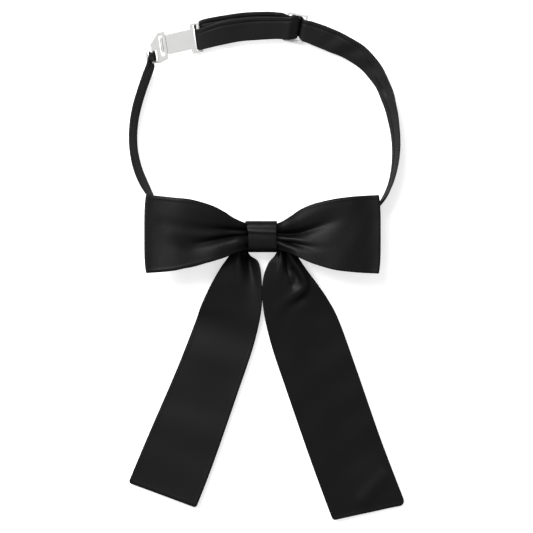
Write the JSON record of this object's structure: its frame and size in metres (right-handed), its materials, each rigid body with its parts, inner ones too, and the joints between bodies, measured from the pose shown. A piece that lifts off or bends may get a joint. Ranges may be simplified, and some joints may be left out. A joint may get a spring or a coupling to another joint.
{
  "type": "bow tie",
  "caption": "Ready-made black satin ribbon bow tie with long flat tails, banded knot and a hook-and-slide adjustable neckband.",
  "frame": {"origin": "middle of the knot's back face, on the surface that the tie lies on", "axes": "+X across the bow towards the slider's side, +Y up to the back of the neckband, +Z out of the bow's front"},
  "size_m": [0.1383, 0.2543, 0.0183],
  "materials": {
    "black_satin": "satin",
    "knot_satin": "satin",
    "tail_satin": "satin",
    "strap_satin": "satin",
    "black_thread": "matt",
    "interfacing": "matt",
    "white_plastic": "semi-gloss"
  },
  "bodies": {
    "bow": {"knot_wrap": "knot_satin", "knot_stitches": "black_thread", "bow_loop": "black_satin", "bow_interfacing": "interfacing", "waist_thread": "black_thread", "tail_bridge": "tail_satin", "tail_thread": "black_thread", "strap_left": "strap_satin", "strap_right": "strap_satin", "strap_back_layer": "strap_satin", "strap_front_layer": "strap_satin", "strap_anchor_stitches": "black_thread", "eye_bartack": "black_thread", "slider_bartack": "black_thread"},
    "left_tail": {"tail_left": "tail_satin"},
    "right_tail": {"tail_right": "tail_satin"},
    "eye": {"eye": "white_plastic"},
    "hook": {"hook": "white_plastic"},
    "slider": {"slider": "white_plastic"}
  },
  "joints": [
    {"name": "tail_left_swing", "type": "hinge", "parent": "bow", "child": "left_tail", "pos_m": [-0.0085, -0.0035, 0.0045], "axis": [0, 0, -1], "range_deg": [0, 22]},
    {"name": "tail_right_swing", "type": "hinge", "parent": "bow", "child": "right_tail", "pos_m": [0.0085, -0.0035, 0.0045], "axis": [0, 0, 1], "range_deg": [0, 22]},
    {"name": "slider_slide", "type": "hinge", "parent": "bow", "child": "slider", "pos_m": [0, 0.017, 0], "axis": [0, 0, -1], "range_deg": [-16, 16], "deforming": ["strap_right", "strap_back_layer", "strap_front_layer", "slider_bartack"]},
    {"name": "hook_swing", "type": "hinge", "parent": "bow", "child": "hook", "pos_m": [-0.0317, 0.0996, 0.0046], "axis": [0.122, -0.9056, -0.4062], "range_deg": [0, 60]},
    {"name": "eye_swing", "type": "hinge", "parent": "bow", "child": "eye", "pos_m": [-0.05496, 0.09121, 0.01065], "axis": [0.122, -0.9056, -0.4062], "range_deg": [0, 30]}
  ]
}
